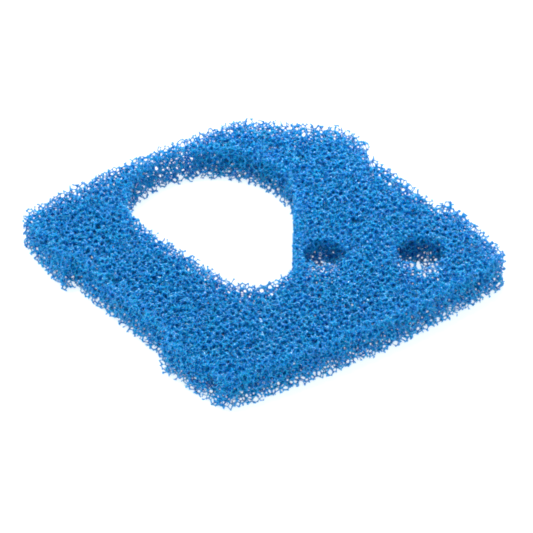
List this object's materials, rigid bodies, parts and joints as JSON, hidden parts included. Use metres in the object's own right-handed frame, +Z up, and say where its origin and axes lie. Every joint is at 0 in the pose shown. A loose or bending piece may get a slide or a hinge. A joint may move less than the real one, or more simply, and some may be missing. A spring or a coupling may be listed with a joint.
{
  "type": "canister filter foam pad",
  "caption": "Flat square open-cell foam filter pad with bowed sides, a large pear-shaped opening and round through holes.",
  "frame": {"origin": "bottom face, under the middle of the bounding box", "axes": "+Z up through the pad's thickness; +X and +Y along its sides, with the cut-off corner at +X +Y and the large round hole towards +X -Y"},
  "size_m": [0.222, 0.225, 0.025],
  "materials": {
    "foam": "coarse open-cell foam, blue, soft satin struts"
  },
  "bodies": {
    "root": {"filter_pad": "foam"}
  },
  "joints": []
}
